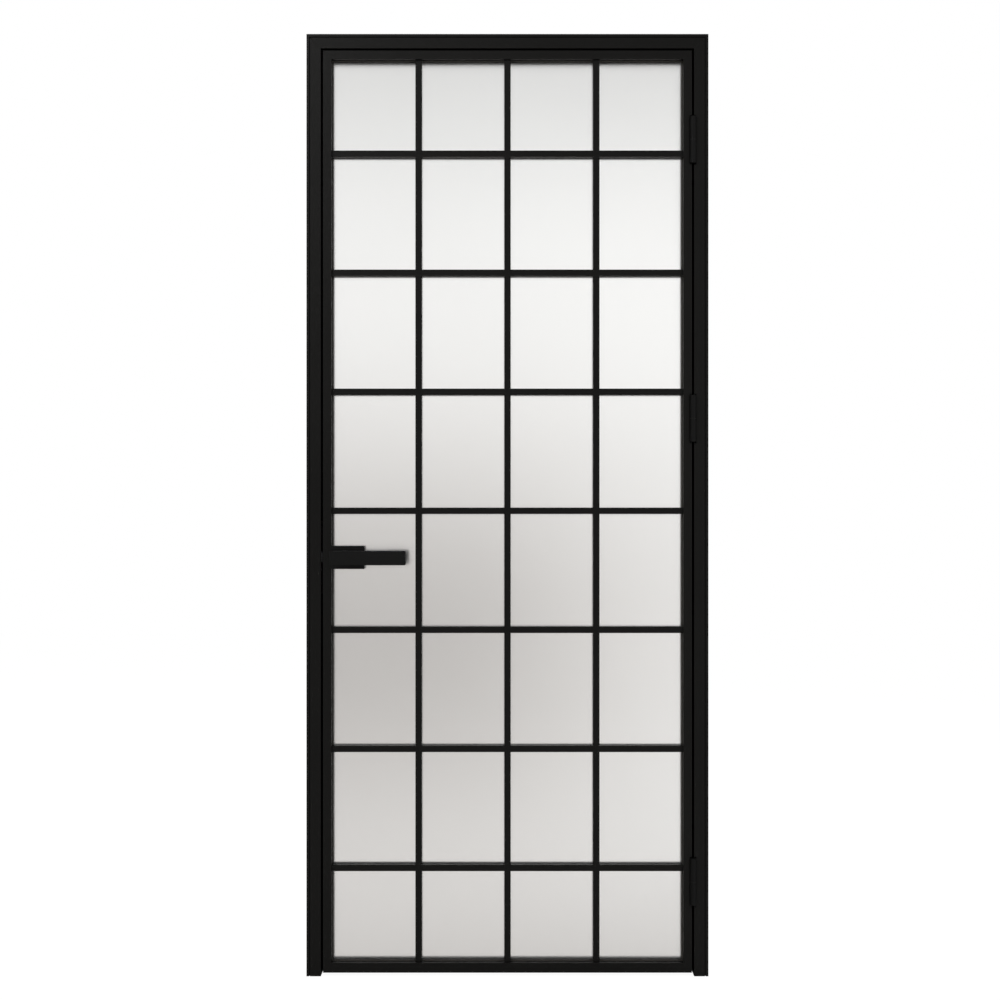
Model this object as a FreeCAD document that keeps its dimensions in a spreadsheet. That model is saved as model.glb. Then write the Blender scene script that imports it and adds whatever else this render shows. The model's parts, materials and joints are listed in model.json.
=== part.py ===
"""Frosted glass swing door: a slim black metal frame, a glazed leaf with glazing bars and a lever handle.

Millimetres. X runs along the door, Y away from the viewer, Z up. The origin lies on the outer flat face
of the hinge jamb, on the floor, at the middle of the frame's depth. The door reaches towards -X and its
leaf opens towards -Y.
"""
import FreeCAD, Part
import os
import Sketcher

# Driving sizes
SIZES = {
    # Door frame
    "frame_width": 900,
    "frame_height": 2110,
    "frame_depth": 80,
    "face_width": 32,
    "stop_width": 18,
    "stop_depth": 30,
    "lip_width": 6,
    "shadow_groove": 2,
    "groove_depth": 3.5,
    # Gaps round the leaf
    "leaf_gap": 5,
    "floor_gap": 8,
    # Leaf profile
    "leaf_depth": 45,
    "sight_width": 19,
    "bottom_ratio": 1.165,
    "web_width": 7,
    "lock_bevel": 2,
    # Glass and its gaskets
    "glass_thickness": 8,
    "glass_cover": 10,
    "gasket_thickness": 3,
    "gasket_show": 2.5,
    "bead_shadow": 1,
    # Glazing bars
    "bar_width": 14.2,
    "bar_depth": 13,
    "upright_count": 3,
    "cross_count": 7,
    "cross_pitch": 267,
    # Barrel hinges
    "hinge_length": 105,
    "barrel_radius": 7,
    "barrel_proud": 3,
    "barrel_room": 1,
    "notch_margin": 3,
    "knuckle_gap": 1,
    "barrel_chamfer": 1,
    "knuckle_cap": 3,
    "pin_radius": 4,
    "pin_end_gap": 0.5,
    "pin_chamfer": 1,
    "collar_inset": 0.7,
    "pin_clearance": 0.05,
    "plate_thickness": 2,
    "plate_reach": 31,
    "top_hinge_drop": 200,
    "middle_hinge_drop": 824,
    "bottom_hinge_rise": 204,
    # Lock box and latch
    "box_width": 73.2,
    "box_height": 51.6,
    "box_corner": 2,
    "box_groove": 4,
    "lock_drop": 104.47,
    "box_clearance": 0.3,
    "spindle_radius": 6,
    "spindle_square": 8,
    "spindle_inset": 10,
    "faceplate_height": 165,
    "faceplate_width": 20,
    "faceplate_thickness": 3,
    "latch_height": 24,
    "latch_width": 12,
    "latch_clearance": 0.3,
    "strike_pocket": 14,
    # Lever handles
    "lever_tail": 36.6,
    "lever_reach": 132,
    "lever_height": 31.6,
    "lever_thickness": 12,
    "lever_stand": 45,
    "neck_radius": 11,
    "seat_clearance": 0.3,
    "lever_corner": 3,
    "lever_edge": 0.6,
    # Seal in the frame's rebate
    "seal_width": 8,
    "seal_foot": 1.5,
    "seal_nose": 5,
    "seal_clearance": 0.5,
    "slot_width": 3,
    "slot_depth": 4,
    # Wall fixings
    "fixing_count": 4,
    "fixing_radius": 4.5,
    "sink_radius": 8,
    "fixing_end": 330,
}

doc = FreeCAD.newDocument("frosted_glass_door")
sheet = doc.addObject("Spreadsheet::Sheet", "Sizes")
for row, (alias, size) in enumerate(SIZES.items(), start=1):
    sheet.set(f"A{row}", alias)
    sheet.set(f"B{row}", str(size))
    sheet.setAlias(f"B{row}", alias)
doc.recompute()


class Cells:
    """Gives the formula text of a sheet cell by its alias."""

    def __getattr__(self, alias):
        if alias not in SIZES:
            raise AttributeError(alias)
        return f"Sizes.{alias}"


s = Cells()


def number(formula):
    """The value of a formula at the sheet's present sizes."""
    return float(sheet.evalExpression(str(formula)))


# Levels and lines that several pieces share, as formulas of the sheet
front = f"(-{s.frame_depth} / 2)"
back = f"({s.frame_depth} / 2)"
stop_face = f"({back} - {s.stop_depth})"
leaf_width = f"({s.frame_width} - 2 * {s.face_width} - 2 * {s.leaf_gap})"
leaf_height = f"({s.frame_height} - {s.face_width} - {s.leaf_gap} - {s.floor_gap})"
leaf_left = f"({s.face_width} + {s.leaf_gap} - {s.frame_width})"
leaf_right = f"(-{s.face_width} - {s.leaf_gap})"
leaf_middle = f"({front} + {s.leaf_depth} / 2)"
half_leaf = f"({s.leaf_depth} / 2)"
half_glass = f"({s.glass_thickness} / 2)"
pocket_edge = f"({half_glass} + {s.gasket_thickness})"
gasket_edge = f"({s.sight_width} + {s.gasket_show})"
glass_edge = f"({s.sight_width} - {s.glass_cover})"
bottom_sight = f"({s.bottom_ratio} * {s.sight_width})"
bottom_gasket_edge = f"({s.bottom_ratio} * {gasket_edge})"
bottom_glass_edge = f"({s.bottom_ratio} * {glass_edge})"
bar_face = f"({half_glass} + {s.bar_depth})"
hinge_x = f"(-{s.face_width} - {s.leaf_gap} / 2)"
hinge_y = f"({front} - {s.barrel_proud})"
box_right = f"({s.sight_width} + {s.box_width})"
box_middle = f"({s.sight_width} + {s.box_width} / 2)"
middle_bar = f"(({leaf_height} - {gasket_edge} + {bottom_gasket_edge}) / 2)"
box_level = f"({middle_bar} - {s.lock_drop})"
lock_height = f"({s.floor_gap} + {box_level})"
spindle_x = f"({leaf_left} + {box_middle})"
hinge_levels = {
    "top": f"({s.floor_gap} + {leaf_height} - {s.top_hinge_drop})",
    "middle": f"({s.floor_gap} + {leaf_height} - {s.middle_hinge_drop})",
    "bottom": f"({s.floor_gap} + {s.bottom_hinge_rise})",
}
notch_half = f"({s.hinge_length} / 2 + {s.notch_margin})"

# Drawing helpers
PLANES = {"x": "YZ_Plane", "y": "XZ_Plane", "z": "XY_Plane"}
HAIR = 0.001
sub_parts = []


def new_body(label, x="0", y="0", z="0", split=False):
    """A named body at x, y, z. A split body may hold solids that don't touch."""
    body = doc.addObject("PartDesign::Body", label)
    body.Label = label
    body.AllowCompound = split
    for axis, formula in zip("xyz", (x, y, z)):
        body.setExpression(f".Placement.Base.{axis}", formula)
    sub_parts.append(body)
    return body


def origin_plane(body, axis):
    return next(f for f in body.Origin.OriginFeatures if f.Role == PLANES[axis])


def tie(sketch, kind, item, formula):
    """Hold one point of the sketch at a formula's distance from its origin."""
    rule = sketch.addConstraint(Sketcher.Constraint(kind, -1, 1, item, 1, number(formula)))
    sketch.setExpression(f"Constraints[{rule}]", formula)


def draw_polygon(sketch, corners):
    """A closed loop of straight edges, each corner tied to two formulas."""
    first = sketch.GeometryCount
    count = len(corners)
    points = [FreeCAD.Vector(number(a), number(b), 0) for a, b in corners]
    for i in range(count):
        sketch.addGeometry(Part.LineSegment(points[i], points[(i + 1) % count]))
    for i in range(count):
        sketch.addConstraint(Sketcher.Constraint("Coincident", first + i, 2, first + (i + 1) % count, 1))
    for i, (a, b) in enumerate(corners):
        tie(sketch, "DistanceX", first + i, a)
        tie(sketch, "DistanceY", first + i, b)


def draw_circle(sketch, a, b, radius):
    """A circle with its centre and radius tied to formulas."""
    centre = FreeCAD.Vector(number(a), number(b), 0)
    item = sketch.addGeometry(Part.Circle(centre, FreeCAD.Vector(0, 0, 1), number(radius)))
    for kind, formula in (("DistanceX", a), ("DistanceY", b)):
        rule = sketch.addConstraint(Sketcher.Constraint(kind, -1, 1, item, 3, number(formula)))
        sketch.setExpression(f"Constraints[{rule}]", formula)
    rule = sketch.addConstraint(Sketcher.Constraint("Radius", item, number(radius)))
    sketch.setExpression(f"Constraints[{rule}]", radius)


def extrude(body, kind, axis, low, high, polygons=(), circles=()):
    """Pad or pocket outlines between two levels along one axis of the body."""
    sketch = body.newObject("Sketcher::SketchObject", f"{body.Label}_outline")
    sketch.AttachmentSupport = [(origin_plane(body, axis), "")]
    sketch.MapMode = "FlatFace"
    start = f"-({high})" if axis == "y" else low
    sketch.setExpression(".AttachmentOffset.Base.z", start)
    for corners in polygons:
        draw_polygon(sketch, corners)
    for circle in circles:
        draw_circle(sketch, *circle)
    feature = body.newObject(f"PartDesign::{kind}", f"{body.Label}_{kind.lower()}")
    feature.Profile = sketch
    feature.Reversed = kind == "Pocket"
    feature.setExpression("Length", f"({high}) - ({low})")
    return feature


def rectangle(a_low, b_low, a_high, b_high):
    return [(a_low, b_low), (a_high, b_low), (a_high, b_high), (a_low, b_high)]


def minus(formula):
    return f"(-1 * ({formula}))"


def edges_where(feature, chosen):
    """Names of the feature's edges that a test picks by their two end points."""
    doc.recompute()
    names = []
    for i, edge in enumerate(feature.Shape.Edges, start=1):
        ends = (edge.firstVertex().Point, edge.lastVertex().Point)
        if chosen(*ends):
            names.append(f"Edge{i}")
    return names


def soften(body, kind, feature, chosen, size):
    """Round or chamfer the chosen edges of a feature."""
    softened = body.newObject(f"PartDesign::{kind}", f"{body.Label}_{kind.lower()}")
    softened.Base = (feature, edges_where(feature, chosen))
    softened.setExpression("Radius" if kind == "Fillet" else "Size", size)
    return softened


def near(value, formula):
    return abs(value - number(formula)) < HAIR


# Mitred profiles, made of layers that are trapezoids seen from the front
def upright_strip(side, length, foot):
    """Outlines of an upright's strips. Side is the direction of its inner edge along X.

    Foot is the rise of the lower mitre for each millimetre across, or 0 for a square foot.
    """

    def strip(near, far):
        return [
            (f"{side} * {near}", f"{foot} * {near}"),
            (f"{side} * {far}", f"{foot} * {far}"),
            (f"{side} * {far}", f"{length} - {far}"),
            (f"{side} * {near}", f"{length} - {near}"),
        ]

    return strip


def level_strip(side, length, height="1"):
    """Outlines of a level member's strips. Side is the direction of its inner edge along Z.

    Height is the member's height for each millimetre of the uprights' width.
    """

    def strip(near, far):
        return [
            (near, f"{side} * {height} * {near}"),
            (f"{length} - {near}", f"{side} * {height} * {near}"),
            (f"{length} - {far}", f"{side} * {height} * {far}"),
            (far, f"{side} * {height} * {far}"),
        ]

    return strip


def profile(label, place, strip, layers, split=False):
    """A member whose layers each reach from one distance off its outer edge to another."""
    body = new_body(label, *place, split=split)
    for kind, near, far, low, high in layers:
        extrude(body, kind, "y", low, high, [strip(near, far)])
    return body


# Door frame
frame_full = f"({s.face_width} + {s.stop_width})"
groove_end = f"({s.lip_width} + {s.shadow_groove})"
slot_middle = f"({s.face_width} + {s.stop_width} / 2)"
half_slot = f"({s.slot_width} / 2)"
slot_floor = f"({stop_face} + {s.slot_depth})"
frame_layers = [
    ("Pad", "0", s.face_width, front, stop_face),
    ("Pad", "0", frame_full, stop_face, back),
    ("Pocket", s.lip_width, groove_end, front, f"{front} + {s.groove_depth}"),
    ("Pocket", s.lip_width, groove_end, f"{back} - {s.groove_depth}", back),
    ("Pocket", f"({slot_middle} - {half_slot})", f"({slot_middle} + {half_slot})", stop_face, slot_floor),
]
lock_side = minus(s.frame_width)
hinge_strip = upright_strip(-1, s.frame_height, "0")
lock_strip = upright_strip(1, s.frame_height, "0")
head_strip = level_strip(-1, s.frame_width)
head_place = (lock_side, "0", s.frame_height)
hinge_jamb = profile("hinge_jamb", ("0", "0", "0"), hinge_strip, frame_layers)
lock_jamb = profile("lock_jamb", (lock_side, "0", "0"), lock_strip, frame_layers)
head = profile("head", head_place, head_strip, frame_layers)

# Wall fixing holes, four in a line on each jamb behind the closed leaf, countersunk from the rebate
for jamb, side in ((hinge_jamb, -1), (lock_jamb, 1)):
    sketch = jamb.newObject("Sketcher::SketchObject", f"{jamb.Label}_fixing")
    sketch.AttachmentSupport = [(origin_plane(jamb, "x"), "")]
    sketch.MapMode = "FlatFace"
    sketch.setExpression(".AttachmentOffset.Base.z", f"{side} * {s.face_width}")
    draw_circle(sketch, leaf_middle, s.fixing_end, s.fixing_radius)
    doc.recompute()
    hole = jamb.newObject("PartDesign::Hole", f"{jamb.Label}_hole")
    hole.Profile = sketch
    hole.Reversed = side < 0
    hole.DepthType = "Dimension"
    hole.HoleCutType = "Countersink"
    hole.setExpression("Diameter", f"2 * {s.fixing_radius}")
    hole.setExpression("Depth", s.face_width)
    hole.setExpression("HoleCutDiameter", f"2 * {s.sink_radius}")
    hole.HoleCutCountersinkAngle = 90
    hole.DrillPoint = "Flat"
    holes = jamb.newObject("PartDesign::LinearPattern", f"{jamb.Label}_holes")
    holes.Originals = [hole]
    holes.Direction = (origin_plane(jamb, "z"), [""])
    holes.setExpression("Length", f"{s.frame_height} - 2 * {s.fixing_end}")
    holes.setExpression("Occurrences", s.fixing_count)
    jamb.Tip = holes

# Notches for the hinge barrels and the hinge plates in the hinge jamb
for level in hinge_levels.values():
    extrude(
        hinge_jamb, "Pocket", "z", f"{level} - {notch_half}", f"{level} + {notch_half}",
        circles=[(hinge_x, hinge_y, f"{s.barrel_radius} + {s.barrel_room}")])
    extrude(
        hinge_jamb, "Pocket", "x", minus(s.face_width), f"{s.plate_thickness} - {s.face_width}",
        [rectangle(front, f"{level} - {s.hinge_length} / 2", f"{hinge_y} + {s.plate_reach}", level)])

# Strike plate in the lock jamb
half_plate = f"({s.faceplate_width} / 2)"
half_plate_height = f"({s.faceplate_height} / 2)"
half_latch = f"({s.latch_width} / 2 + {s.latch_clearance})"
half_latch_height = f"({s.latch_height} / 2 + {s.latch_clearance})"
plate_outline = rectangle(
    f"{leaf_middle} - {half_plate}", f"{lock_height} - {half_plate_height}",
    f"{leaf_middle} + {half_plate}", f"{lock_height} + {half_plate_height}")
latch_outline = rectangle(
    f"{leaf_middle} - {half_latch}", f"{lock_height} - {half_latch_height}",
    f"{leaf_middle} + {half_latch}", f"{lock_height} + {half_latch_height}")
extrude(lock_jamb, "Pocket", "x", f"{s.face_width} - {s.plate_thickness}", s.face_width, [plate_outline])
extrude(lock_jamb, "Pocket", "x", f"{s.face_width} - {s.strike_pocket}", s.face_width, [latch_outline])
strike_plate = new_body("strike_plate", minus(s.frame_width))
extrude(
    strike_plate, "Pad", "x", f"{s.face_width} - {s.plate_thickness}", s.face_width,
    [plate_outline, latch_outline])

# Rubber seals on the stops: a stem in the slot, a foot and a narrower nose
seal_front = f"({front} + {s.leaf_depth} + {s.seal_clearance})"
seal_foot = f"({stop_face} - {s.seal_foot})"
half_seal = f"({s.seal_width} / 2)"
half_nose = f"({s.seal_nose} / 2)"
seal_layers = [
    ("Pad", f"({slot_middle} - {half_slot})", f"({slot_middle} + {half_slot})", stop_face, slot_floor),
    ("Pad", f"({slot_middle} - {half_seal})", f"({slot_middle} + {half_seal})", seal_foot, stop_face),
    ("Pad", f"({slot_middle} - {half_nose})", f"({slot_middle} + {half_nose})", seal_front, seal_foot),
]
profile("hinge_jamb_seal", ("0", "0", "0"), hinge_strip, seal_layers)
profile("lock_jamb_seal", (lock_side, "0", "0"), lock_strip, seal_layers)
profile("head_seal", head_place, head_strip, seal_layers)

# Leaf profiles, in depths from the leaf's middle plane: a front flange and a web that frame the glass
leaf_layers = [
    ("Pad", "0", s.sight_width, minus(half_leaf), minus(pocket_edge)),
    ("Pad", "0", s.web_width, minus(pocket_edge), half_leaf),
]
in_leaf = (leaf_left, leaf_middle, s.floor_gap)
leaf_far = (leaf_right, leaf_middle, s.floor_gap)
leaf_high = (leaf_left, leaf_middle, f"({s.floor_gap} + {leaf_height})")
leaf_hinge_strip = upright_strip(-1, leaf_height, s.bottom_ratio)
leaf_lock_strip = upright_strip(1, leaf_height, s.bottom_ratio)
top_strip = level_strip(-1, leaf_width)
bottom_strip = level_strip(1, leaf_width, s.bottom_ratio)
hinge_stile = profile("hinge_stile", leaf_far, leaf_hinge_strip, leaf_layers)
lock_stile = profile("lock_stile", in_leaf, leaf_lock_strip, leaf_layers)
profile("top_rail", leaf_high, top_strip, leaf_layers)
profile("bottom_rail", in_leaf, bottom_strip, leaf_layers)

# Bevel of the lock stile's edge, so that its back corner swings clear of the jamb
extrude(lock_stile, "Pocket", "z", "0", leaf_height, [[
    ("0", minus(half_leaf)), (s.lock_bevel, half_leaf), ("0", half_leaf)]])

# Hinge notches and plate seats in the hinge stile
axis_x = f"({hinge_x} - {leaf_right})"
axis_y = f"({hinge_y} - {leaf_middle})"
for level in hinge_levels.values():
    middle = f"({level} - {s.floor_gap})"
    extrude(
        hinge_stile, "Pocket", "z", f"{middle} - {notch_half}", f"{middle} + {notch_half}",
        circles=[(axis_x, axis_y, f"{s.barrel_radius} + {s.barrel_room}")])
    plate_top = f"{middle} + {s.hinge_length} / 2"
    extrude(
        hinge_stile, "Pocket", "x", minus(s.plate_thickness), "0",
        [rectangle(minus(half_leaf), middle, f"{axis_y} + {s.plate_reach}", plate_top)])

# Barrel hinges: the lower knuckle and its pin on the jamb, the upper knuckle on the leaf
half_length = f"({s.hinge_length} / 2)"
half_gap = f"({s.knuckle_gap} / 2)"
plate_low = f"({s.leaf_gap} / 2)"
plate_high = f"({plate_low} + {s.plate_thickness})"
bore_radius = f"({s.pin_radius} + {s.pin_clearance})"


def knuckle(label, place, side):
    """Half a hinge: a barrel with one chamfered end, and its plate. Side is -1 on the jamb, 1 on the leaf."""
    body = new_body(label, *place)
    low, high = (half_gap, half_length) if side > 0 else (minus(half_length), minus(half_gap))
    barrel = extrude(body, "Pad", "z", low, high, circles=[("0", "0", s.barrel_radius)])
    end = f"{side} * {half_length}"
    soften(body, "Chamfer", barrel, lambda a, b: near(a.z, end) and near(b.z, end), s.barrel_chamfer)
    left, right = (plate_low, plate_high) if side < 0 else (minus(plate_high), minus(plate_low))
    inner, outer = f"{side} * {half_gap}", f"{side} * ({half_length} - {s.barrel_chamfer})"
    extrude(body, "Pad", "x", left, right, [rectangle("0", inner, s.plate_reach, outer)])
    bore_end = f"({half_length} - {s.knuckle_cap})"
    bore_low, bore_high = (half_gap, bore_end) if side > 0 else (minus(bore_end), minus(half_gap))
    extrude(body, "Pocket", "z", bore_low, bore_high, circles=[("0", "0", bore_radius)])


def hinge_pin(label, place):
    """A turned pin with a bearing collar between the knuckles and a chamfered tip."""
    body = new_body(label, *place)
    foot = f"({s.knuckle_cap} - {half_length})"
    tip = f"({half_length} - {s.knuckle_cap} - {s.pin_end_gap})"
    collar = f"({s.barrel_radius} - {s.collar_inset})"
    collar_top = f"({half_gap} - {s.pin_clearance})"
    sketch = body.newObject("Sketcher::SketchObject", f"{label}_outline")
    sketch.AttachmentSupport = [(origin_plane(body, "y"), "")]
    sketch.MapMode = "FlatFace"
    draw_polygon(sketch, [
        ("0", foot),
        (s.pin_radius, foot),
        (s.pin_radius, minus(half_gap)),
        (collar, minus(half_gap)),
        (collar, collar_top),
        (s.pin_radius, collar_top),
        (s.pin_radius, f"{tip} - {s.pin_chamfer}"),
        (f"{s.pin_radius} - {s.pin_chamfer}", tip),
        ("0", tip),
    ])
    turned = body.newObject("PartDesign::Revolution", f"{label}_turned")
    turned.Profile = sketch
    turned.ReferenceAxis = (sketch, ["V_Axis"])
    turned.Angle = 360


for place, level in hinge_levels.items():
    centre = (hinge_x, hinge_y, level)
    knuckle(f"{place}_hinge_jamb_knuckle", centre, -1)
    knuckle(f"{place}_hinge_leaf_knuckle", centre, 1)
    hinge_pin(f"{place}_hinge_pin", centre)

# Pieces inside the leaf are measured from its lower lock-side corner and its middle plane
box_low = f"({box_level} - {s.box_height} / 2)"
box_high = f"({box_level} + {s.box_height} / 2)"

# One sheet of glass, notched round the core of the lock box, whose two plates overlap its cut edge
core_right = f"({box_right} - {s.box_groove})"
core_low = f"({box_low} + {s.box_groove})"
core_high = f"({box_high} - {s.box_groove})"
notch_right = f"({core_right} + {s.box_clearance})"
notch_low = f"({core_low} - {s.box_clearance})"
notch_high = f"({core_high} + {s.box_clearance})"
glass_pane = new_body("glass_pane", *in_leaf)
extrude(glass_pane, "Pad", "y", minus(half_glass), half_glass, [[
    (glass_edge, bottom_glass_edge),
    (f"{leaf_width} - {glass_edge}", bottom_glass_edge),
    (f"{leaf_width} - {glass_edge}", f"{leaf_height} - {glass_edge}"),
    (glass_edge, f"{leaf_height} - {glass_edge}"),
    (glass_edge, notch_high),
    (notch_right, notch_high),
    (notch_right, notch_low),
    (glass_edge, notch_low),
]])

# Gaskets in front of the glass and behind it
for label, low, high in (
    ("front_gasket", minus(pocket_edge), minus(half_glass)),
    ("back_gasket", half_glass, pocket_edge),
):
    gasket = new_body(label, *in_leaf)
    extrude(gasket, "Pad", "y", low, high, [
        rectangle(edge, bottom, f"{leaf_width} - {edge}", f"{leaf_height} - {edge}")
        for edge, bottom in ((glass_edge, bottom_glass_edge), (gasket_edge, bottom_gasket_edge))
    ])
    extrude(gasket, "Pocket", "y", low, high, [
        rectangle("0", f"{box_low} - {s.box_clearance}", box_right, f"{box_high} + {s.box_clearance}")])

# Glazing beads behind the glass, mitred and flush with the gasket, each with a fine shadow line at the web
bead_step = f"({half_leaf} - {s.bead_shadow})"
bead_layers = [
    ("Pad", s.web_width, gasket_edge, pocket_edge, bead_step),
    ("Pad", f"({s.web_width} + {s.bead_shadow})", gasket_edge, bead_step, half_leaf),
]
profile("bottom_bead", in_leaf, bottom_strip, bead_layers)
profile("top_bead", leaf_high, top_strip, bead_layers)
profile("hinge_bead", leaf_far, leaf_hinge_strip, bead_layers)
lock_bead = profile("lock_bead", in_leaf, leaf_lock_strip, bead_layers, split=True)
extrude(lock_bead, "Pocket", "y", pocket_edge, half_leaf, [
    rectangle(s.web_width, box_low, gasket_edge, box_high)])

# Glazing bars on both faces of the glass
upright_pitch = f"(({leaf_width} - 2 * {gasket_edge} + {s.bar_width}) / ({s.upright_count} + 1))"
half_bar = f"({s.bar_width} / 2)"
uprights = []
for i in range(1, int(number(s.upright_count)) + 1):
    uprights.append(f"({gasket_edge} - {half_bar} + {i} * {upright_pitch})")
crossings = []
for i in range(int(number(s.cross_count))):
    crossings.append(f"({middle_bar} + (({s.cross_count} - 1) / 2 - {i}) * {s.cross_pitch})")


def bar_outlines(spans, first, last):
    """Outlines of a bar's pieces in front of the glass and behind it, from spans along the bar.

    First and last are the gasket's edges at the bar's two ends. In front the outer ends are notched over the
    gasket and meet the profile. Behind they stop at the bead.
    """
    front_pieces, back_pieces = [], []
    for start, end in spans:
        outline = [(end, minus(bar_face)), (start, minus(bar_face))]
        if start == spans[0][0]:
            outline += [(start, minus(pocket_edge)), (first, minus(pocket_edge))]
            start = first
        outline.append((start, minus(half_glass)))
        if end == spans[-1][1]:
            outline += [(last, minus(half_glass)), (last, minus(pocket_edge)), (end, minus(pocket_edge))]
            end = last
        else:
            outline.append((end, minus(half_glass)))
        front_pieces.append(outline)
        back_pieces.append(rectangle(start, half_glass, end, bar_face))
    return front_pieces, back_pieces


def swapped(outlines):
    """The same outlines with their two directions exchanged."""
    return [[(b, a) for a, b in outline] for outline in outlines]


upright_span = (bottom_sight, f"{leaf_height} - {s.sight_width}")
upright_outlines = bar_outlines([upright_span], bottom_gasket_edge, f"({leaf_height} - {gasket_edge})")
for i, x in enumerate(uprights, start=1):
    bar = new_body(f"upright_bar_{i}", f"{leaf_left} + {x}", leaf_middle, s.floor_gap, split=True)
    for outlines in upright_outlines:
        extrude(bar, "Pad", "x", minus(half_bar), half_bar, swapped(outlines))

stops = [s.sight_width]
for x in uprights:
    stops += [f"{x} - {half_bar}", f"{x} + {half_bar}"]
stops.append(f"{leaf_width} - {s.sight_width}")
cross_outlines = bar_outlines(
    list(zip(stops[::2], stops[1::2])), gasket_edge, f"({leaf_width} - {gasket_edge})")
for i, z in enumerate(crossings, start=1):
    bar = new_body(f"cross_bar_{i}", leaf_left, leaf_middle, f"{s.floor_gap} + {z}", split=True)
    for outlines in cross_outlines:
        extrude(bar, "Pad", "z", minus(half_bar), half_bar, outlines)

# Lock box, flush with both faces of the leaf: a core through the glass, a plate on each side of it, and a
# tenon against the stile's web
lock_box = new_body("lock_box", *in_leaf)
for low, high, plate_left in (
    (minus(half_leaf), minus(half_glass), s.sight_width),
    (half_glass, half_leaf, s.web_width),
):
    plate = extrude(lock_box, "Pad", "y", low, high, [rectangle(plate_left, box_low, box_right, box_high)])
    soften(
        lock_box, "Fillet", plate,
        lambda a, b: near(a.x, box_right) and near(b.x, box_right) and near(a.z, b.z)
        and near(min(a.y, b.y), low) and near(max(a.y, b.y), high), s.box_corner)
    if low != half_glass:
        extrude(lock_box, "Pad", "y", minus(half_glass), half_glass, [
            rectangle(s.web_width, core_low, core_right, core_high)])
extrude(lock_box, "Pad", "y", minus(pocket_edge), minus(half_glass), [
    rectangle(s.web_width, box_low, s.sight_width, box_high)])
extrude(
    lock_box, "Pocket", "y", minus(half_leaf), half_leaf,
    circles=[(box_middle, box_level, f"({s.spindle_radius} + {s.pin_clearance})")])

# Latch with its faceplate in the bevelled edge of the lock stile
leaf_plate = rectangle(
    minus(half_plate), f"{box_level} - {half_plate_height}", half_plate, f"{box_level} + {half_plate_height}")
leaf_latch = rectangle(
    minus(half_latch), f"{box_level} - {half_latch_height}", half_latch, f"{box_level} + {half_latch_height}")
bolt_outline = rectangle(
    f"-{s.latch_width} / 2", f"{box_level} - {s.latch_height} / 2",
    f"{s.latch_width} / 2", f"{box_level} + {s.latch_height} / 2")
plate_back = f"({s.lock_bevel} + {s.faceplate_thickness})"
extrude(lock_stile, "Pocket", "x", "0", plate_back, [leaf_plate])
extrude(lock_stile, "Pocket", "x", "0", s.web_width, [leaf_latch])
latch_faceplate = new_body("latch_faceplate", *in_leaf)
extrude(latch_faceplate, "Pad", "x", s.lock_bevel, plate_back, [leaf_plate, leaf_latch])
latch_bolt = new_body("latch_bolt", *in_leaf)
extrude(latch_bolt, "Pad", "x", s.lock_bevel, s.web_width, [bolt_outline])

# Handle: a lever on each side of the leaf on one spindle with square ends
def centred_square(half):
    return rectangle(minus(half), minus(half), half, half)


half_square = f"({s.spindle_square} / 2)"
neck_foot = f"({half_leaf} + {s.seat_clearance})"
lever_near = f"({half_leaf} + {s.lever_stand} - {s.lever_thickness})"
lever_far = f"({half_leaf} + {s.lever_stand})"
spindle_end = f"({lever_near} - {s.spindle_inset})"
spindle = new_body("spindle", spindle_x, leaf_middle, lock_height)
extrude(spindle, "Pad", "y", minus(half_leaf), half_leaf, circles=[("0", "0", s.spindle_radius)])
extrude(spindle, "Pad", "y", minus(spindle_end), spindle_end, [centred_square(half_square)])


def lever(label, side):
    """A flat lever with a round neck and a square socket. Side is -1 in front of the leaf, 1 behind it."""

    def span(low, high):
        return (low, high) if side > 0 else (minus(high), minus(low))

    body = new_body(label, spindle_x, leaf_middle, lock_height)
    half_height = f"({s.lever_height} / 2)"
    bar = extrude(body, "Pad", "y", *span(lever_near, lever_far), [
        rectangle(minus(s.lever_tail), minus(half_height), s.lever_reach, half_height)])
    corners = soften(body, "Fillet", bar, lambda a, b: near(a.x, b.x) and near(a.z, b.z), s.lever_corner)
    face = f"{side} * {lever_far}"
    soften(body, "Chamfer", corners, lambda a, b: near(a.y, face) and near(b.y, face), s.lever_edge)
    extrude(body, "Pad", "y", *span(neck_foot, lever_near), circles=[("0", "0", s.neck_radius)])
    socket_end = f"({spindle_end} + {s.seat_clearance})"
    extrude(body, "Pocket", "y", *span(neck_foot, socket_end), [
        centred_square(f"({half_square} + {s.pin_clearance})")])


lever("front_lever", -1)
lever("back_lever", 1)

doc.recompute()


def faults():
    """Every feature that failed and every sub-part without a sound shape."""
    found = [o.Label for o in doc.Objects if "Invalid" in o.State or "Error" in o.State]
    for body in sub_parts:
        if body.Shape.isNull() or not body.Shape.isValid():
            found.append(body.Label)
    return found


if faults():
    raise RuntimeError(f"These failed: {faults()}")

os.makedirs("parts", exist_ok=True)
for body in sub_parts:
    body.Shape.exportStep(f"parts/{body.Label}.step")
    print(body.Label, len(body.Shape.Solids), round(body.Shape.Volume))
print(len(sub_parts), "sub-parts")
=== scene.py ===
# %% [markdown]
# # A frosted glass swing door
#
# This lesson dresses a door that already exists as solids: a black metal frame, a glazed leaf with glazing
# bars, barrel hinges and a flat lever. The solids give every size. What is left is what the eye reads as
# real: powder coat, etched glass, rubber, brushed steel, and the screws that show when the leaf is open.
# The dressing may not change the door's size.

import json
import math

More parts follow.
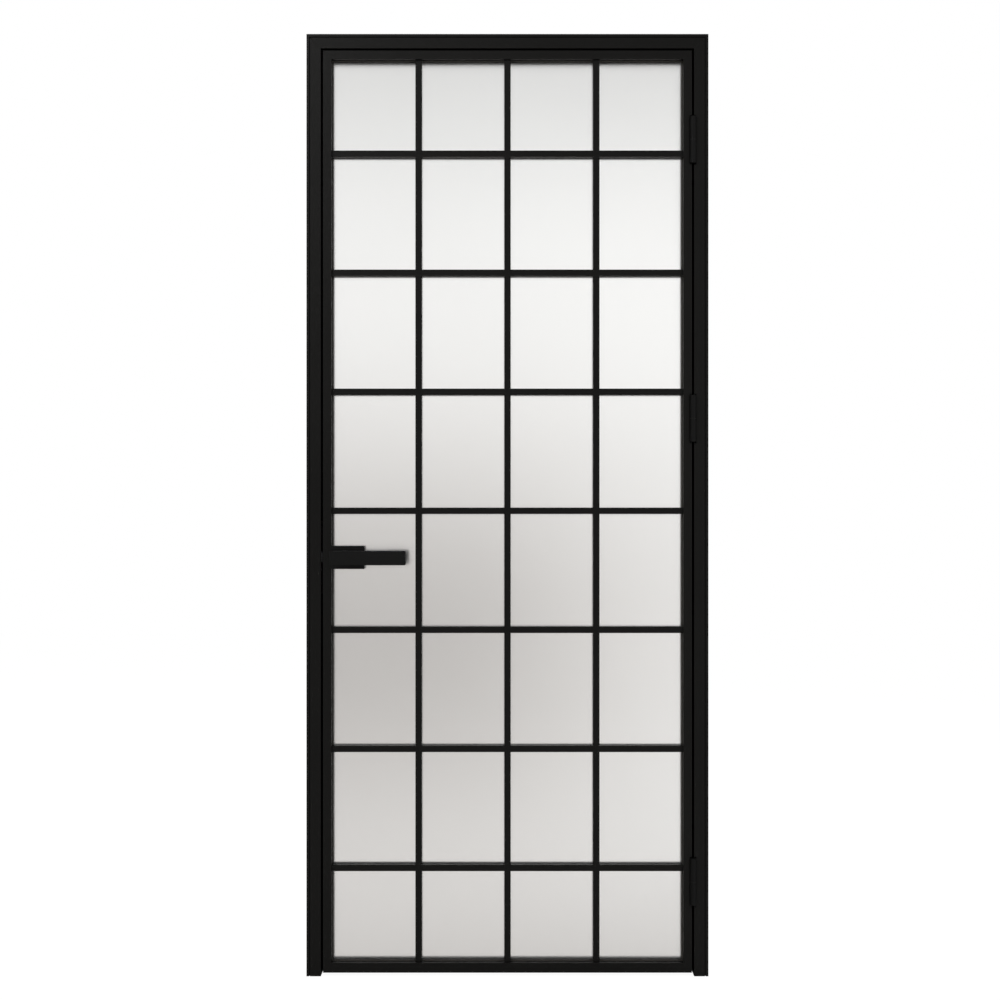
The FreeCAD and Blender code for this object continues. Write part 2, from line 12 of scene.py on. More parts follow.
import bpy
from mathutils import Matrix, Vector


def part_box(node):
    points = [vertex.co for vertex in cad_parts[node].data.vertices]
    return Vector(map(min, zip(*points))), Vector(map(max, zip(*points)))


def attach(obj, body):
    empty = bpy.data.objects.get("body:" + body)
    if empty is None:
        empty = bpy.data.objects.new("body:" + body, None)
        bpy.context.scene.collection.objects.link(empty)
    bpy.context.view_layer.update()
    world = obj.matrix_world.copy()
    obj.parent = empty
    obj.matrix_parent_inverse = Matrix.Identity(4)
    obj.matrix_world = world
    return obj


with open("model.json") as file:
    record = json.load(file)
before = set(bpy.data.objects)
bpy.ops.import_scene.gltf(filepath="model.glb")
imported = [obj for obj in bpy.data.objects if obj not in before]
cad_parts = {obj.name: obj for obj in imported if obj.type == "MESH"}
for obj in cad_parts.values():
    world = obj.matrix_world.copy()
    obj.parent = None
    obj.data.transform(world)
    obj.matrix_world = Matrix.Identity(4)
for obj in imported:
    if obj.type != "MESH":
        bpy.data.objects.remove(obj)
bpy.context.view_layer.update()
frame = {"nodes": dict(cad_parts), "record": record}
nodes = frame["nodes"]
print("pieces of the door:", len(nodes))

# %% [markdown]
# ## Sizes
#
# Lengths are in metres. A few sizes of the real door are needed again here, to place the screws and the
# camera. They could be typed in, but sizes read from the boxes of the solids stay true when the door
# changes. Only the frame's visible width and the gap beside the leaf can't be read from a box.

# %% Sizes that the dressing needs
MM = 0.001
FRAME_FACE = 32 * MM
LEAF_GAP = 5 * MM
hinge_jamb_low, hinge_jamb_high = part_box("hinge_jamb")
lock_jamb_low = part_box("lock_jamb")[0]
door_width = hinge_jamb_high.x - lock_jamb_low.x
door_height = hinge_jamb_high.z
door_middle = lock_jamb_low.x + door_width / 2
front_y = hinge_jamb_low.y
rebate_x = hinge_jamb_high.x - FRAME_FACE
leaf_edge_x = rebate_x - LEAF_GAP
print(f"door {door_width:.3f} m wide, {door_height:.3f} m high")

# %% [markdown]
# ## Helpers for nodes
#
# Materials and Geometry Nodes are graphs of nodes. Written by hand, each node takes many lines of "new node,
# set value, link". The first helper takes the node's type, its inputs and its settings, and returns the
# node, so each recipe below reads as a short list. An input is a plain value or another node's output.
# Inputs that share one name, as on Math and Mix nodes, go by their number.

# %% Node helpers
def add_node(tree, kind, inputs=None, **settings):
    """Add a node, set its settings, and set or link its inputs."""
    node = tree.nodes.new(kind)
    for name, value in settings.items():
        setattr(node, name, value)
    for name, value in (inputs or {}).items():
        if isinstance(value, bpy.types.NodeSocket):
            tree.links.new(value, node.inputs[name])
        else:
            node.inputs[name].default_value = value
    return node


def calculate(tree, operation, *values):
    """A Math node's result."""
    return add_node(tree, "ShaderNodeMath", dict(enumerate(values)), operation=operation).outputs["Value"]


def map_range(tree, value, source, target, **settings):
    """Turn a value's range from source into target."""
    mapped = add_node(
        tree, "ShaderNodeMapRange",
        {"Value": value, "From Min": source[0], "From Max": source[1],
         "To Min": target[0], "To Max": target[1]}, **settings)
    return mapped.outputs["Result"]


# %% [markdown]
# ## Helpers for materials
#
# Every finish of this door is built in the same way: a fine noise in the piece's own space gives the skin.
# It tilts the surface a little as a bump, and it changes the colour or the gloss. The piece's own space is
# measured in metres, so a noise of scale 900 has waves of about a millimetre on every piece, and nothing
# slides when the leaf swings.

# %% Material helpers
def new_material(name):
    material = bpy.data.materials.new(name)
    material.use_nodes = True
    material.node_tree.nodes.clear()
    return material, material.node_tree


def object_noise(tree, scale, detail):
    """Noise with about scale waves per metre, in the piece's own space."""
    place = add_node(tree, "ShaderNodeTexCoord").outputs["Object"]
    noise = add_node(tree, "ShaderNodeTexNoise", {"Vector": place, "Scale": scale, "Detail": detail})
    return noise.outputs["Fac"]


def bumped(tree, height, strength, depth, **under):
    """A normal tilted by a height, on top of another normal if one is given."""
    bump = add_node(
        tree, "ShaderNodeBump", {"Strength": strength, "Distance": depth, "Height": height, **under})
    return bump.outputs["Normal"]


def shaded_colour(tree, tone, strength):
    """One colour, times a strength that changes over the surface."""
    scaled = add_node(tree, "ShaderNodeVectorMath", {0: tone, "Scale": strength}, operation="SCALE")
    return scaled.outputs["Vector"]


def principled(tree, inputs):
    """The material's surface."""
    shader = add_node(tree, "ShaderNodeBsdfPrincipled", inputs)
    add_node(tree, "ShaderNodeOutputMaterial", {"Surface": shader.outputs["BSDF"]})


# %% [markdown]
# ## Black powder coat
#
# The frame and the leaf are coated with fine powder, baked on. It is matt, very dark, and has a faint
# orange-peel skin: shallow waves about a millimetre across, with a finer grain on top. One broad noise
# changes the tone and the gloss a little from place to place, as handling and cleaning do. The solids have
# sharp edges, but bent and coated metal never has. Rather than rounding hundreds of edges, a Bevel node
# turns the shading normal over the last half millimetre or so, and edges and joints catch a soft line of
# light.

# %% Powder coat recipe
EDGE_RADIUS = 0.6 * MM
PEEL_DEPTH = 0.2 * MM
PEEL_SCALE = 900.0
SMALL_PEEL_SCALE = 1400.0
GRAIN_FINENESS = 4
GRAIN_SHARE = 0.3
HANDLING_SCALE = 3.0
HANDLING_RANGE = (0.3, 0.7)
DUST_RANGE = (0.35, 0.75)
DUST_STRENGTHS = (0.92, 1.1)
COAT_GLOSS = 0.11
ROUGHNESS_DRIFT = (-0.04, 0.05)


def powder_coat(name, tone, roughness, peel):
    material, tree = new_material(name)
    waves = object_noise(tree, peel, detail=3.0)
    grain = object_noise(tree, peel * GRAIN_FINENESS, detail=2.0)
    skin = add_node(tree, "ShaderNodeMix", {"Factor": GRAIN_SHARE, 2: waves, 3: grain}, data_type="FLOAT")
    rounded = add_node(tree, "ShaderNodeBevel", {"Radius": EDGE_RADIUS}, samples=6)
    handling = object_noise(tree, HANDLING_SCALE, detail=4.0)
    dust = map_range(tree, handling, DUST_RANGE, DUST_STRENGTHS)
    roughnesses = [roughness + drift for drift in ROUGHNESS_DRIFT]
    principled(tree, {
        "Base Color": shaded_colour(tree, tone, dust),
        "Roughness": map_range(tree, handling, HANDLING_RANGE, roughnesses),
        "Specular IOR Level": COAT_GLOSS,
        "Normal": bumped(
            tree, skin.outputs[0], strength=0.8, depth=PEEL_DEPTH, Normal=rounded.outputs["Normal"])})
    return material


frame_coat = powder_coat(
    "black_powder_coat", tone=(0.0036, 0.0034, 0.0030), roughness=0.4, peel=PEEL_SCALE)
handle_coat = powder_coat(
    "handle_powder_coat", tone=(0.0033, 0.0033, 0.0032), roughness=0.46, peel=SMALL_PEEL_SCALE)
hinge_coat = powder_coat(
    "hinge_powder_coat", tone=(0.0024, 0.0024, 0.0023), roughness=0.6, peel=SMALL_PEEL_SCALE)
print("coats:", frame_coat.name, handle_coat.name, hinge_coat.name)

# %% [markdown]
# ## Frosted glass
#
# Etched glass lets light through and scatters it, so what touches its back shows softly and what stands
# further off is only a blur. A rough transmission does that. The etching itself is a very fine grain, well
# below a millimetre, so it goes into the normal and not into the colour. Its roughness drifts slowly over
# the pane, because acid never bites quite evenly.

# %% Frosted glass recipe
GLASS_TINT = (0.965, 0.965, 0.96, 1.0)
GLASS_INDEX = 1.45
GLASS_GLOSS = 0.35
ETCH_SCALE = 2600.0
ETCH_DEPTH = 0.02 * MM
BITE_SCALE = 2.2
BITE_RANGE = (0.3, 0.7)
ETCH_ROUGHNESS = (0.285, 0.31)


def frosted_glass(name):
    material, tree = new_material(name)
    etching = object_noise(tree, ETCH_SCALE, detail=2.0)
    bite = object_noise(tree, BITE_SCALE, detail=3.0)
    principled(tree, {
        "Base Color": GLASS_TINT, "IOR": GLASS_INDEX, "Transmission Weight": 1.0,
        "Roughness": map_range(tree, bite, BITE_RANGE, ETCH_ROUGHNESS),
        "Specular IOR Level": GLASS_GLOSS,
        "Normal": bumped(tree, etching, strength=0.12, depth=ETCH_DEPTH)})
    return material


etched_glass = frosted_glass("frosted_glass")
print("glass:", etched_glass.name)

# %% [markdown]
# ## Rubber
#
# Seals and gaskets are extruded black rubber: rougher than the coat, a touch lighter and warmer, with a fine
# grain. The same recipe, much darker and with hardly any gloss, paints the shade inside a screw's socket.

# %% Rubber recipe
RUBBER_SCALE = 1800.0
RUBBER_DEPTH = 0.03 * MM
RUBBER_ROUGHNESS = 0.75
RUBBER_STRENGTHS = (0.75, 1.25)
WHOLE_RANGE = (0.0, 1.0)


def rubber(name, tone, gloss):
    material, tree = new_material(name)
    grain = object_noise(tree, RUBBER_SCALE, detail=2.0)
    dust = map_range(tree, grain, WHOLE_RANGE, RUBBER_STRENGTHS)
    principled(tree, {
        "Base Color": shaded_colour(tree, tone, dust), "Roughness": RUBBER_ROUGHNESS,
        "Specular IOR Level": gloss, "Normal": bumped(tree, grain, strength=0.4, depth=RUBBER_DEPTH)})
    return material


seal_rubber = rubber("seal_rubber", tone=(0.041, 0.038, 0.0345), gloss=0.25)
# recess_shade is painted shade: a near-black colour for the shade inside a screw's socket and its ring
recess_shade = rubber("recess_shade", tone=(0.0005, 0.0005, 0.0005), gloss=0.02)
print("rubber and shade:", seal_rubber.name, recess_shade.name)

# %% [markdown]
# ## Brushed and blackened steel
#
# The strike plate, the faceplate, the latch and the spindle are brushed stainless steel. Brushing is a noise
# stretched along the brushing direction, upright here, so that it breaks up the highlight in fine streaks.
# The hinge pins are blackened steel, turned on a lathe, so their streaks are squeezed into rings instead.

# %% Steel recipe
UPRIGHT_STREAKS = (900.0, 900.0, 12.0)
TURNED_RINGS = (40.0, 40.0, 2200.0)
STREAK_DEPTH = 0.02 * MM
STEEL_ROUGHNESS = (0.22, 0.42)
STEEL_BLUE = 1.02


def brushed_steel(name, tone, stretch):
    material, tree = new_material(name)
    place = add_node(tree, "ShaderNodeTexCoord").outputs["Object"]
    along = add_node(tree, "ShaderNodeMapping", {"Vector": place, "Scale": stretch}).outputs["Vector"]
    noise = add_node(tree, "ShaderNodeTexNoise", {"Vector": along, "Scale": 1.0, "Detail": 3.0})
    streaks = noise.outputs["Fac"]
    principled(tree, {
        "Base Color": (tone, tone, tone * STEEL_BLUE, 1.0), "Metallic": 1.0,
        "Roughness": map_range(tree, streaks, WHOLE_RANGE, STEEL_ROUGHNESS),
        "Normal": bumped(tree, streaks, strength=0.2, depth=STREAK_DEPTH)})
    return material


lock_steel = brushed_steel("brushed_stainless_steel", tone=0.48, stretch=UPRIGHT_STREAKS)
pin_steel = brushed_steel("blackened_steel", tone=0.02, stretch=TURNED_RINGS)
print("steel:", lock_steel.name, pin_steel.name)

# %% [markdown]
# ## Give each solid its finish
#
# The record says which material slot each piece takes. The finishes could be given piece by piece, but one
# small table from slot to finish dresses the whole door and misses nothing.

# %% Dress the solids
FINISHES = {
    "black_frame": frame_coat,
    "handle_metal": handle_coat,
    "hinge_metal": hinge_coat,
    "steel_pin": pin_steel,
    "lock_steel": lock_steel,
    "frosted_glass": etched_glass,
    "black_rubber": seal_rubber,
}
for part in frame["record"]["subparts"]:
    mesh = nodes[part["node"]].data
    mesh.materials.clear()
    mesh.materials.append(FINISHES[part["material_slot"]])

# %% [markdown]
# ## Screws
#
# With the leaf open, its fastenings show: countersunk socket screws in the hinge plates, in the strike plate
# and the latch's faceplate, larger ones that fix the frame to the wall, and a set screw under each lever's
# neck. They differ only in size and place, so one Geometry Nodes tree makes them all. Its inputs are the
# sizes below. A head is a cone with its wide end up and a six-sided socket cut into it. The cylinder that
# cuts the socket is centred on the head's top, so it is twice as long as the socket is deep.

# %% The head of a screw
SCREW_SIZES = {
    "Head Radius": 4.5 * MM,
    "Foot Radius": 2.0 * MM,
    "Head Depth": 2.5 * MM,
    "Socket Radius": 1.8 * MM,
    "Socket Depth": 1.5 * MM,
    "Shade Depth": 0.12 * MM,
    "Ring Width": 0.3 * MM,
}
ROUND_SIDES = 32
SOCKET_SIDES = 6


def lowered(tree, geometry, depth):
    """Geometry moved down by a depth."""
    down = add_node(tree, "ShaderNodeCombineXYZ", {"Z": calculate(tree, "MULTIPLY", depth, -1.0)})
    moved = add_node(
        tree, "GeometryNodeTransform", {"Geometry": geometry, "Translation": down.outputs["Vector"]})
    return moved.outputs["Geometry"]


def socket_head(tree, given):
    head = add_node(
        tree, "GeometryNodeMeshCone",
        {"Vertices": ROUND_SIDES, "Radius Top": given["Head Radius"], "Radius Bottom": given["Foot Radius"],
         "Depth": given["Head Depth"]})
    socket = add_node(
        tree, "GeometryNodeMeshCylinder",
        {"Vertices": SOCKET_SIDES, "Radius": given["Socket Radius"],
         "Depth": calculate(tree, "MULTIPLY", given["Socket Depth"], 2.0)})
    cut = add_node(
        tree, "GeometryNodeMeshBoolean",
        {"Mesh 1": lowered(tree, head.outputs["Mesh"], given["Head Depth"]),
         "Mesh 2": socket.outputs["Mesh"]}, operation="DIFFERENCE")
    return cut.outputs["Mesh"]


print("sizes of a screw:", len(SCREW_SIZES))

# %% [markdown]
# The plates are solid, so a socket can't reach down into them. A thin black disc is painted shade: it
# stands for the shade deep in the socket and in the fine dark ring of the countersink. It is a little wider
# than the head, and its top lies its own thickness below the head's top. Its faces carry a mark, an
# attribute called shade, by which the tree later gives them their own material.

# %% The shade under a head
def shade_disc(tree, given):
    disc = add_node(
        tree, "GeometryNodeMeshCylinder",
        {"Vertices": ROUND_SIDES, "Depth": given["Shade Depth"],
         "Radius": calculate(tree, "ADD", given["Head Radius"], given["Ring Width"])})
    depth = calculate(tree, "MULTIPLY", given["Shade Depth"], 1.5)
    marked = add_node(
        tree, "GeometryNodeStoreNamedAttribute",
        {"Geometry": lowered(tree, disc.outputs["Mesh"], depth), "Name": "shade", "Value": True},
        data_type="BOOLEAN", domain="FACE")
    return marked.outputs["Geometry"]


# %% [markdown]
# A screw is aimed along its point's own direction. It also gets a turn of its own, up to a sixth of a
# circle, because nobody drives screws to the same angle. The seed is fixed, so the turns are the same in
# each run.

# %% The turn of a screw
TURN_SEED = 7


def screw_turn(tree):
    facing = add_node(
        tree, "GeometryNodeInputNamedAttribute", {"Name": "facing"}, data_type="FLOAT_VECTOR")
    aimed = add_node(
        tree, "FunctionNodeAlignRotationToVector", {"Vector": facing.outputs["Attribute"]}, axis="Z")
    turn = add_node(
        tree, "FunctionNodeRandomValue", {2: 0.0, 3: math.tau / SOCKET_SIDES, "Seed": TURN_SEED},
        data_type="FLOAT")
    spin = add_node(tree, "ShaderNodeCombineXYZ", {"Z": turn.outputs[1]})
    turned = add_node(
        tree, "FunctionNodeRotateRotation",
        {"Rotation": aimed.outputs["Rotation"], "Rotate By": spin.outputs["Vector"]}, rotation_space="LOCAL")
    return turned.outputs["Rotation"]


# %% [markdown]
# Now the tree itself: it joins head and shade, puts one on every point, makes them real, and gives the two
# materials. The instances are made real because an export drops instances.

# %% The screw tree
def screw_tree():
    tree = bpy.data.node_groups.new("socket_screws", "GeometryNodeTree")
    face = tree.interface
    face.new_socket("Points", in_out="INPUT", socket_type="NodeSocketGeometry")
    for label, size in SCREW_SIZES.items():
        face.new_socket(label, in_out="INPUT", socket_type="NodeSocketFloat").default_value = size
    face.new_socket("Finish", in_out="INPUT", socket_type="NodeSocketMaterial")
    face.new_socket("Shade", in_out="INPUT", socket_type="NodeSocketMaterial")
    face.new_socket("Screws", in_out="OUTPUT", socket_type="NodeSocketGeometry")
    given = tree.nodes.new("NodeGroupInput").outputs
    whole = add_node(tree, "GeometryNodeJoinGeometry", {"Geometry": socket_head(tree, given)})
    tree.links.new(shade_disc(tree, given), whole.inputs["Geometry"])
    placed = add_node(
        tree, "GeometryNodeInstanceOnPoints",
        {"Points": given["Points"], "Instance": whole.outputs["Geometry"], "Rotation": screw_turn(tree)})
    real = add_node(tree, "GeometryNodeRealizeInstances", {"Geometry": placed.outputs["Instances"]})
    coated = add_node(
        tree, "GeometryNodeSetMaterial", {"Geometry": real.outputs["Geometry"], "Material": given["Finish"]})
    is_shade = add_node(tree, "GeometryNodeInputNamedAttribute", {"Name": "shade"}, data_type="BOOLEAN")
    shaded = add_node(
        tree, "GeometryNodeSetMaterial",
        {"Geometry": coated.outputs["Geometry"], "Selection": is_shade.outputs["Attribute"],
         "Material": given["Shade"]})
    done = tree.nodes.new("NodeGroupOutput")
    tree.links.new(shaded.outputs["Geometry"], done.inputs["Screws"])
    return tree


socket_screws = screw_tree()
print("screw tree nodes:", len(socket_screws.nodes))

# %% [markdown]
# The helper below puts the tree on a cloud of points, fills in its inputs, and keeps the result as a plain
# mesh: the modifier's work is done once, and the piece that stays has no modifier. A head in a plate stands
# a fifth of a millimetre proud, because two faces in one plane would fight for the same light.

# %% Drive a set of screws
HEAD_PROUD = 0.2 * MM


def drive_screws(label, places, finish, slot, body, proud=HEAD_PROUD, **sizes):
    """Screws at places, a list of (point, direction). Sizes are the tree's inputs."""
    cloud = bpy.data.meshes.new(label + "_points")
    cloud.from_pydata([Vector(point) + proud * Vector(direction) for point, direction in places], [], [])
    facing = cloud.attributes.new("facing", "FLOAT_VECTOR", "POINT")
    for i, (point, direction) in enumerate(places):
        facing.data[i].vector = direction
    carrier = bpy.data.objects.new(label + "_carrier", cloud)
    bpy.context.scene.collection.objects.link(carrier)
    modifier = carrier.modifiers.new("screws", "NODES")
    modifier.node_group = socket_screws
    keys = {item.name: item.identifier for item in socket_screws.interface.items_tree
            if item.in_out == "INPUT"}
    for name, value in sizes.items():
        modifier[keys[name.replace("_", " ").title()]] = value
    modifier[keys["Finish"]] = finish
    modifier[keys["Shade"]] = recess_shade
    graph = bpy.context.evaluated_depsgraph_get()
    mesh = bpy.data.meshes.new_from_object(carrier.evaluated_get(graph))
    mesh.name = label
    bpy.data.objects.remove(carrier)
    piece = bpy.data.objects.new(label, mesh)
    bpy.context.scene.collection.objects.link(piece)
    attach(piece, body)
    print(label, len(places), "screws,", len(mesh.polygons), "faces")


# %% [markdown]
# ## Hinge screws
#
# Hinge screws sit in three staggered places on each plate, clear of the barrel. A plate's box gives its
# faces, so the screws stay right when a hinge moves. One half of a hinge is on the jamb and the other on
# the leaf, so there are two pieces, and each rides its own body.

# %% Hinge screws
HINGE_ROWS = ((0.2, 6 * MM), (0.5, 13 * MM), (0.8, 6 * MM))


def plate_places(plate, face_x, direction):
    """Places for one plate's screws: a share of its height, and an inset from its back edge."""
    low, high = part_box(plate)
    return [((face_x, high.y - inset, low.z + share * (high.z - low.z)), direction)
            for share, inset in HINGE_ROWS]


jamb_places = []
leaf_places = []
for hinge in ("top", "middle", "bottom"):
    jamb_places += plate_places(hinge + "_hinge_jamb_knuckle", rebate_x, (-1.0, 0.0, 0.0))
    leaf_places += plate_places(hinge + "_hinge_leaf_knuckle", leaf_edge_x, (1.0, 0.0, 0.0))
drive_screws("jamb_hinge_screws", jamb_places, hinge_coat, "hinge_metal", "frame")
drive_screws("leaf_hinge_screws", leaf_places, hinge_coat, "hinge_metal", "leaf")

# %% [markdown]
# ## Lock screws
#
# The strike plate in the jamb and the faceplate on the leaf's edge face each other when the door is shut.
# Each is held by two steel screws, one near either end, at the same heights.

# %% Lock screws
SCREW_FROM_END = 12 * MM
strike_low, strike_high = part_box("strike_plate")
faceplate_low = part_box("latch_faceplate")[0]
plate_y = (strike_low.y + strike_high.y) / 2
ends = (strike_low.z + SCREW_FROM_END, strike_high.z - SCREW_FROM_END)
drive_screws(
    "strike_plate_screws", [((strike_high.x, plate_y, z), (1.0, 0.0, 0.0)) for z in ends],
    lock_steel, "lock_steel", "frame")
drive_screws(
    "latch_faceplate_screws", [((faceplate_low.x, plate_y, z), (-1.0, 0.0, 0.0)) for z in ends],
    lock_steel, "lock_steel", "leaf")

# %% [markdown]
# ## Frame fixings
#
# Larger screws fix the frame to the wall. They fill the countersunk holes behind the closed leaf, four on
# each side, evenly spaced. A hole has room for a real recess, so these heads are flush and their shade lies
# deeper.

# %% Frame fixings
FIXING_COUNT = 4
FIXING_FROM_END = 330 * MM
fixing_pitch = (door_height - 2 * FIXING_FROM_END) / (FIXING_COUNT - 1)
fixing_heights = [FIXING_FROM_END + i * fixing_pitch for i in range(FIXING_COUNT)]
fixings = [((rebate_x, plate_y, z), (-1.0, 0.0, 0.0)) for z in fixing_heights]
fixings += [((strike_high.x, plate_y, z), (1.0, 0.0, 0.0)) for z in fixing_heights]
drive_screws(
    "frame_fixing_screws", fixings, hinge_coat, "hinge_metal", "frame", proud=0.0,
    head_radius=7.8 * MM, foot_radius=4.4 * MM, head_depth=3.5 * MM,
    socket_radius=2.9 * MM, socket_depth=2.5 * MM, shade_depth=1.2 * MM)

# %% [markdown]
# ## Set screws
#
# Each lever is clamped on the spindle by a set screw without a head. It sits under the lever's neck, where
# a hand doesn't feel it, so its direction is straight down.

# %% Set screws
NECK_RADIUS = 11 * MM
NECK_MIDDLE = 12 * MM
lock_box_low, lock_box_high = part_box("lock_box")
spindle_low, spindle_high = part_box("spindle")
axis_x = (spindle_low.x + spindle_high.x) / 2
axis_z = (spindle_low.z + spindle_high.z) / 2
neck_y = (lock_box_low.y - NECK_MIDDLE, lock_box_high.y + NECK_MIDDLE)
drive_screws(
    "lever_set_screws", [((axis_x, y, axis_z - NECK_RADIUS), (0.0, 0.0, -1.0)) for y in neck_y],
    lock_steel, "lock_steel", "handle", head_radius=2.5 * MM, foot_radius=2.5 * MM, head_depth=2.0 * MM,
    socket_radius=1.4 * MM, socket_depth=1.5 * MM)

# %% [markdown]
# ## Camera
#
# The photograph looks straight at the door from about three and a half metres, at half its height. The
# front of the frame fills about 402 pixels of 1000, which gives the metres per pixel and so the lens. The
# door stands a little right of the picture's middle, which a very small lens shift gives without turning the
# camera.

# %% Camera
PIXELS = 1000.0
METRES_PER_PIXEL = 0.0022392
AXIS_X_PIXEL = 507.45
AXIS_Y_PIXEL = 506.0
TOP_Y_PIXEL = 34.0
VIEW_DISTANCE = 3.5
SENSOR_MM = 36.0

axis_height = door_height - (AXIS_Y_PIXEL - TOP_Y_PIXEL) * METRES_PER_PIXEL
camera_data = bpy.data.cameras.new("camera")
camera_data.sensor_width = SENSOR_MM
camera_data.lens = SENSOR_MM * VIEW_DISTANCE / (PIXELS * METRES_PER_PIXEL)
camera_data.shift_x = (PIXELS / 2 - AXIS_X_PIXEL) / PIXELS
camera_data.shift_y = (AXIS_Y_PIXEL - PIXELS / 2) / PIXELS
camera = bpy.data.objects.new("camera", camera_data)
camera.location = (door_middle, front_y - VIEW_DISTANCE, axis_height)
camera.rotation_euler = (math.pi / 2, 0.0, 0.0)
bpy.context.scene.collection.objects.link(camera)
bpy.context.scene.camera = camera
print(f"lens {camera_data.lens:.1f} mm, camera {axis_height:.3f} m high")

# %% [markdown]
# ## The room behind the glass
#
# Frosted glass shows a blur of the room behind it: bright in its upper half, dimmer under the ceiling and
# in a soft band below the handle, less so on the right, and warmer low down. A real room would need
# furniture and walls. A blur needs only a sky made from the direction of a ray: how much the ray rises, and
# how far it goes to the side. Smooth steps between two directions make its parts: the dim band, a ceiling
# and a foot. Each pair of numbers below is the start and the end of one step.

# %% The room's sky
BAND_RISE = -0.087
BAND_REACH = (0.0, 0.2)
BAND_DIMNESS = (0.58, 0.0)
BAND_SIDES = (-0.02, 0.11)
BAND_SHARES = (1.0, 0.3)
CEILING_RISE = (0.17, 0.3)
CEILING_SHARES = (0.0, 1.0)
CEILING_SIDES = (-0.04, 0.1)
CEILING_DIMNESS = (0.37, 0.5)
FOOT_RISE = (-0.215, -0.32)
FOOT_DIMNESS = (0.0, 0.55)
WARMTH_GAIN = 2.2
NEUTRAL = (1.0, 1.0, 0.99, 1.0)
WARM = (1.0, 0.955, 0.92, 1.0)


def soft_step(tree, value, source, target):
    """A smooth change through target while value goes through source."""
    return map_range(tree, value, source, target, interpolation_type="SMOOTHSTEP")


world = bpy.data.worlds.new("studio")
bpy.context.scene.world = world
world.use_nodes = True
sky = world.node_tree
sky.nodes.clear()
direction = add_node(sky, "ShaderNodeTexCoord").outputs["Generated"]
ray = add_node(sky, "ShaderNodeSeparateXYZ", {"Vector": direction})
rise = ray.outputs["Z"]
side = ray.outputs["X"]
off_band = calculate(sky, "ABSOLUTE", calculate(sky, "SUBTRACT", rise, BAND_RISE))
band = calculate(
    sky, "MULTIPLY", soft_step(sky, off_band, BAND_REACH, BAND_DIMNESS),
    soft_step(sky, side, BAND_SIDES, BAND_SHARES))
ceiling = calculate(
    sky, "MULTIPLY", soft_step(sky, rise, CEILING_RISE, CEILING_SHARES),
    soft_step(sky, side, CEILING_SIDES, CEILING_DIMNESS))
room_foot = soft_step(sky, rise, FOOT_RISE, FOOT_DIMNESS)
low_dimness = calculate(sky, "ADD", band, room_foot)
dimness = calculate(sky, "ADD", low_dimness, ceiling)
tint = add_node(
    sky, "ShaderNodeMix",
    {"Factor": calculate(sky, "MULTIPLY", low_dimness, WARMTH_GAIN), 6: NEUTRAL, 7: WARM},
    data_type="RGBA")
room = add_node(
    sky, "ShaderNodeBackground",
    {"Color": tint.outputs[2], "Strength": calculate(sky, "SUBTRACT", 1.0, dimness)})
print("nodes of the room's sky:", len(sky.nodes))

# %% [markdown]
# ## World
#
# The photograph's background is plain white, and the camera sees the world as just that. The door itself is
# lit by a dimmer, even sky, so that black stays black. The room is a third sky. The Light Path node tells
# the three apart: only rays that came through the glass see the room.

# %% World
SKY_LIGHT = 0.55
SKY_COLOUR = (1.0, 0.995, 0.985, 1.0)
WHITE = (1.0, 1.0, 1.0, 1.0)

give_light = add_node(sky, "ShaderNodeBackground", {"Color": SKY_COLOUR, "Strength": SKY_LIGHT})
show_white = add_node(sky, "ShaderNodeBackground", {"Color": WHITE, "Strength": 1.0})
sky_rays = add_node(sky, "ShaderNodeLightPath").outputs
through_glass = add_node(
    sky, "ShaderNodeMixShader",
    {0: sky_rays["Is Transmission Ray"], 1: give_light.outputs["Background"],
     2: room.outputs["Background"]})
seen = add_node(
    sky, "ShaderNodeMixShader",
    {0: sky_rays["Is Camera Ray"], 1: through_glass.outputs["Shader"], 2: show_white.outputs["Background"]})
add_node(sky, "ShaderNodeOutputWorld", {"Surface": seen.outputs["Shader"]})
print("sky nodes:", len(sky.nodes))

# %% [markdown]
# ## Floor
#
# A large pale floor carries the door's soft shadow. To the camera it is nearly all white light, so that it
# meets the white background without a line. The glass doesn't see it, because the room's sky stands there.

# %% Floor
FLOOR_REACH = 9.0
FLOOR_COLOUR = (0.82, 0.82, 0.81, 1.0)
FLOOR_LIGHT = 1.06
FLOOR_LIGHT_SHARE = 0.9

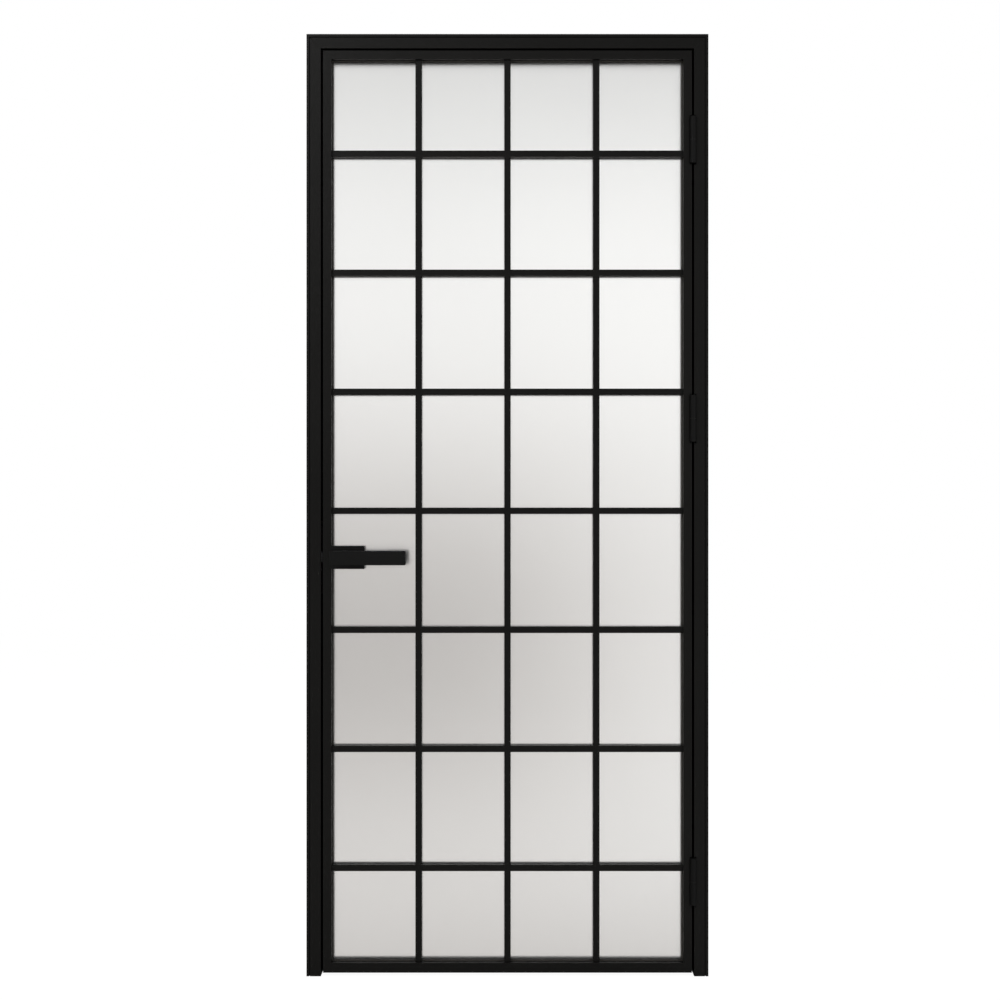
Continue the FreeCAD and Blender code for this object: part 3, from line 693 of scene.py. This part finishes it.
corners = [
    (door_middle - FLOOR_REACH, -FLOOR_REACH, 0.0), (door_middle + FLOOR_REACH, -FLOOR_REACH, 0.0),
    (door_middle + FLOOR_REACH, FLOOR_REACH, 0.0), (door_middle - FLOOR_REACH, FLOOR_REACH, 0.0)]
floor_mesh = bpy.data.meshes.new("floor")
floor_mesh.from_pydata(corners, [], [(0, 1, 2, 3)])
floor = bpy.data.objects.new("floor", floor_mesh)
bpy.context.scene.collection.objects.link(floor)

floor_paint, paint = new_material("pale_floor")
matt = add_node(paint, "ShaderNodeBsdfDiffuse", {"Color": FLOOR_COLOUR})
bright = add_node(paint, "ShaderNodeEmission", {"Strength": FLOOR_LIGHT})
camera_ray = add_node(paint, "ShaderNodeLightPath").outputs["Is Camera Ray"]
painted = add_node(
    paint, "ShaderNodeMixShader",
    {0: calculate(paint, "MULTIPLY", camera_ray, FLOOR_LIGHT_SHARE),
     1: matt.outputs["BSDF"], 2: bright.outputs["Emission"]})
add_node(paint, "ShaderNodeOutputMaterial", {"Surface": painted.outputs["Shader"]})
floor_mesh.materials.append(floor_paint)
floor.visible_transmission = False
print("floor reaches", FLOOR_REACH, "m")

# %% [markdown]
# ## Lamps
#
# The lamps are large and soft, so no edge throws a hard shadow: one high on the left in front, a weaker one
# on the right, and one behind, so that the back of the door is lit as well. Places are given from the middle
# of the door's foot, powers in watts.

# %% Lamps
LAMP_SIZE = 2.4
LAMPS = {
    "key_lamp": ((-2.2, -3.0, 3.4), 90.0),
    "fill_lamp": ((2.8, -2.6, 1.8), 35.0),
    "back_lamp": ((1.6, 3.2, 3.2), 70.0),
}
foot = Vector((door_middle, 0.0, 0.0))
middle = Vector((door_middle, 0.0, door_height / 2))
for name, (place, power) in LAMPS.items():
    lamp_data = bpy.data.lights.new(name, "AREA")
    lamp_data.shape = "SQUARE"
    lamp_data.size = LAMP_SIZE
    lamp_data.energy = power
    lamp = bpy.data.objects.new(name, lamp_data)
    lamp.location = foot + Vector(place)
    lamp.rotation_euler = (middle - lamp.location).to_track_quat("-Z", "Y").to_euler()
    lamp.visible_camera = False
    lamp.visible_transmission = False
    bpy.context.scene.collection.objects.link(lamp)
print("lamps:", len(LAMPS))

# %% [markdown]
# ## Colour view
#
# Standard view keeps each colour as it is written. Every screw lies within the door's outline.

# %% Finish
view = bpy.context.scene.view_settings
view.view_transform = "Standard"
